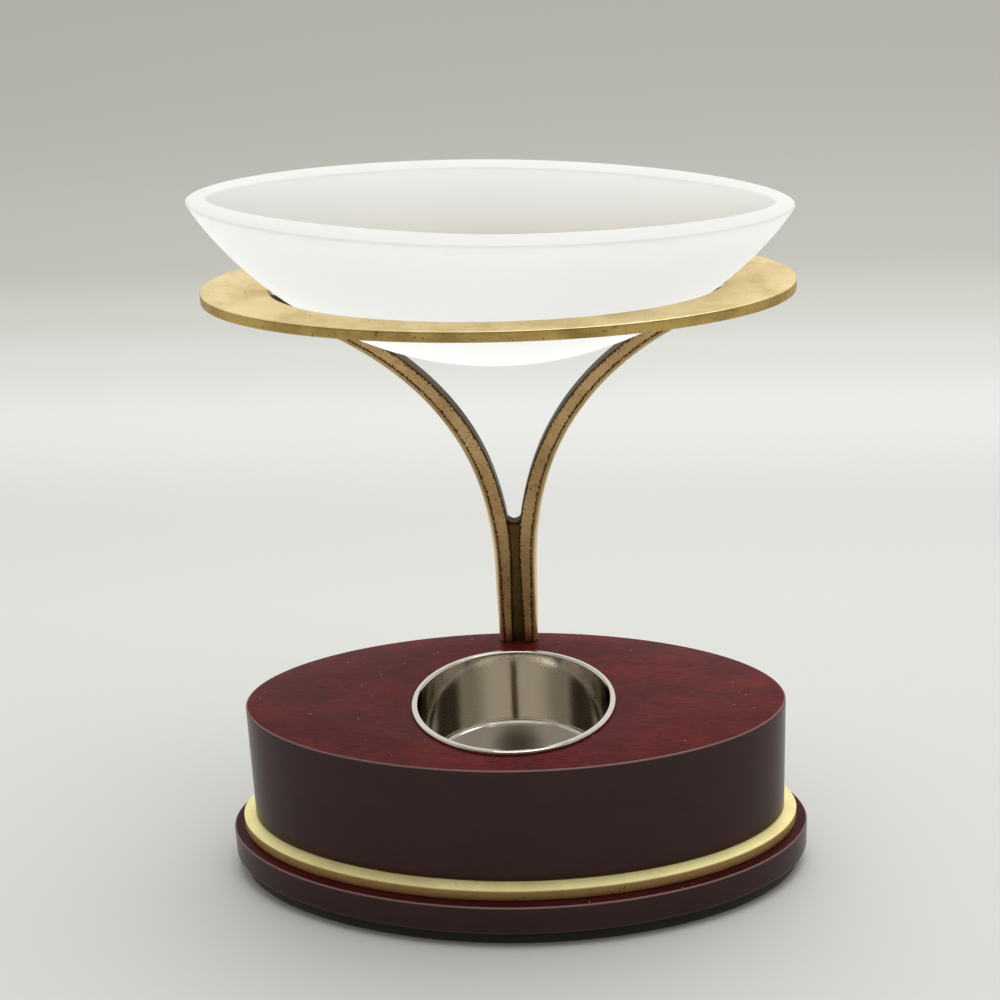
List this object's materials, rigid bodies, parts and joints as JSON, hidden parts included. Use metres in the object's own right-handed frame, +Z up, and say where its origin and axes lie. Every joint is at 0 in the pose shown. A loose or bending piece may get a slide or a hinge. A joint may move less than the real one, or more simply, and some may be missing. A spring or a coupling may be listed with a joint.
{
  "type": "tealight oil burner",
  "caption": "Oval wood base with a sunk metal tealight cup, and a forked brass stand that holds an oval frosted glass oil bowl in a ring above it.",
  "frame": {"origin": "centre of the felt pad's underside, where the burner stands on the table", "axes": "+Z up, +X along the oval's length to the right, -Y to the front where the cup is, +Y to the back where the post stands"},
  "size_m": [0.1236, 0.068, 0.1508],
  "materials": {
    "lacquered_wood": "dark mahogany stain under a semi-gloss lacquer",
    "satin_brass": "cast and satin polished, lightly pitted",
    "nickel_plate": "polished nickel plate",
    "frosted_glass": "white opal glass, frosted",
    "dark_felt": "dark felt",
    "zinc_plated_steel": "zinc plated"
  },
  "bodies": {
    "stand": {"felt_pad": "dark_felt", "plinth": "lacquered_wood", "trim_band": "satin_brass", "wood_block": "lacquered_wood", "stem_web": "satin_brass", "left_arm": "satin_brass", "right_arm": "satin_brass", "bowl_ring": "satin_brass", "post_screw": "zinc_plated_steel", "post_washer": "zinc_plated_steel", "plinth_screw_left": "zinc_plated_steel", "plinth_screw_right": "zinc_plated_steel"},
    "bowl": {"glass_bowl": "frosted_glass"},
    "cup": {"tealight_cup": "nickel_plate"}
  },
  "joints": [
    {"name": "bowl_lift", "type": "slide", "parent": "stand", "child": "bowl", "axis": [0, 0, 1], "range_m": [0, 0.05]},
    {"name": "cup_lift", "type": "slide", "parent": "stand", "child": "cup", "axis": [0, 0, 1], "range_m": [0, 0.025]}
  ]
}
